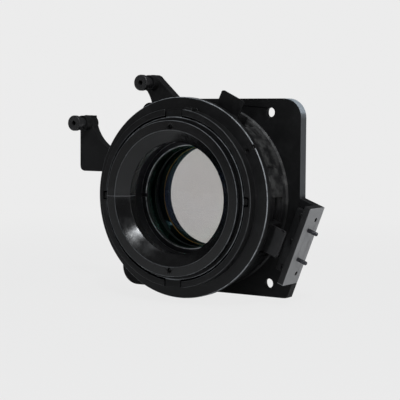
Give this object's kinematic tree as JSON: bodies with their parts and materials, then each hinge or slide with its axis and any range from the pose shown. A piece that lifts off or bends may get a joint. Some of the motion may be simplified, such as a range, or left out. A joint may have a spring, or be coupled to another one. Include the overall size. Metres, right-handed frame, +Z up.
{
  "type": "projection lens",
  "caption": "Projector lens on a moulded plate: a hooked focus ring turns on a guide sleeve and moves a keyed lens barrel along its axis; ears with posts and a drive face.",
  "frame": {"origin": "on the optical axis, at the centre of the four plate holes, in the plate's front face", "axes": "+Z up, +X to the right seen from the front, -Y along the optical axis out of the front lens"},
  "size_m": [0.1508, 0.0441, 0.1136],
  "materials": {
    "mounting_plate": "fine moulded texture",
    "guide_sleeve": "moulded, lightly greased",
    "sleeve_screws": "zinc plated",
    "ring_washer": "smooth",
    "focus_ring": "satin with turned edges",
    "lens_barrel": "satin",
    "cam_pins": "turned",
    "front_hood": "satin black",
    "front_retaining_ring": "black anodised",
    "front_lens": "polished and coated",
    "middle_lens": "polished and coated",
    "aperture_stop": "flat black",
    "lens_spacer": "flat black",
    "rear_lens": "polished and coated",
    "rear_retaining_ring": "black anodised",
    "drive_bracket": "smooth machined face",
    "bracket_screws": "zinc plated",
    "bracket_dowels": "black oxide",
    "upper_post": "black, turned",
    "lower_post": "black, turned"
  },
  "bodies": {
    "plate": {"mounting_plate": "mounting_plate", "guide_sleeve": "guide_sleeve", "sleeve_screws": "sleeve_screws", "ring_washer": "ring_washer", "drive_bracket": "drive_bracket", "bracket_screws": "bracket_screws", "bracket_dowels": "bracket_dowels", "upper_post": "upper_post", "lower_post": "lower_post"},
    "ring": {"focus_ring": "focus_ring"},
    "barrel": {"lens_barrel": "lens_barrel", "cam_pins": "cam_pins", "front_hood": "front_hood", "front_retaining_ring": "front_retaining_ring", "front_lens": "front_lens", "middle_lens": "middle_lens", "aperture_stop": "aperture_stop", "lens_spacer": "lens_spacer", "rear_lens": "rear_lens", "rear_retaining_ring": "rear_retaining_ring"}
  },
  "joints": [
    {"name": "focus_turn", "type": "hinge", "parent": "plate", "child": "ring", "pos_m": [0, -0.022, 0], "axis": [0, -1, 0], "range_deg": [-4, 14]},
    {"name": "barrel_advance", "type": "slide", "parent": "ring", "child": "barrel", "axis": [0, -1, 0], "range_m": [-0.0008, 0.0028]}
  ],
  "couplings": [
    {"joint": "barrel_advance", "follows": "focus_turn", "m_per_rad": 0.01145}
  ]
}
